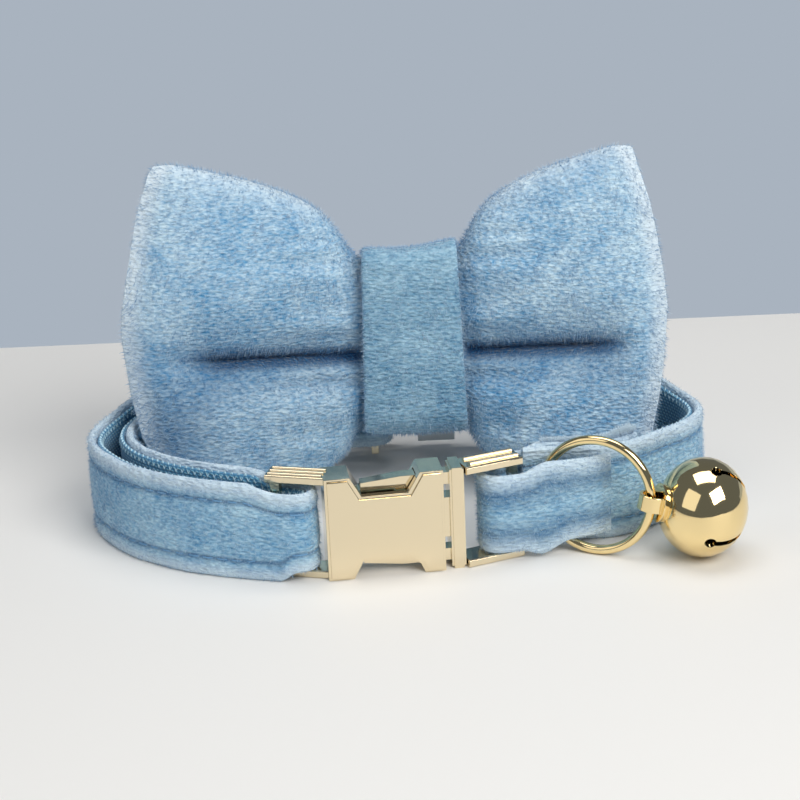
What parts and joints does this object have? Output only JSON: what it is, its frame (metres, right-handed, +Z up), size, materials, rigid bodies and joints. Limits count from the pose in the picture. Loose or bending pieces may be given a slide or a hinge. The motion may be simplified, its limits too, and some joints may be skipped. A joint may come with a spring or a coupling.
{
  "type": "pet bow tie collar",
  "caption": "Velvet pet collar closed by a side-release buckle, with a padded bow at the back, an oval slider, and a ring carrying a round bell beside the buckle.",
  "frame": {"origin": "bottom centre of the bounding box, on the surface that the collar rests on", "axes": "+X along the collar's width towards the bell, +Y from the buckle towards the back of the loop, +Z up"},
  "size_m": [0.1114, 0.0662, 0.0609],
  "materials": {
    "velvet": "matt plush pile",
    "webbing": "matt woven",
    "gold": "polished pale gold plate",
    "elastic": "matt woven"
  },
  "bodies": {
    "root": {"strap_velvet": "velvet", "strap_webbing": "webbing", "end_tab": "velvet", "buckle_body": "gold", "buckle_clip": "gold", "bell_ring": "gold", "bell": "gold", "slider": "gold", "bow_pad": "velvet", "bow_knot": "velvet", "bow_elastic": "elastic"}
  },
  "joints": []
}
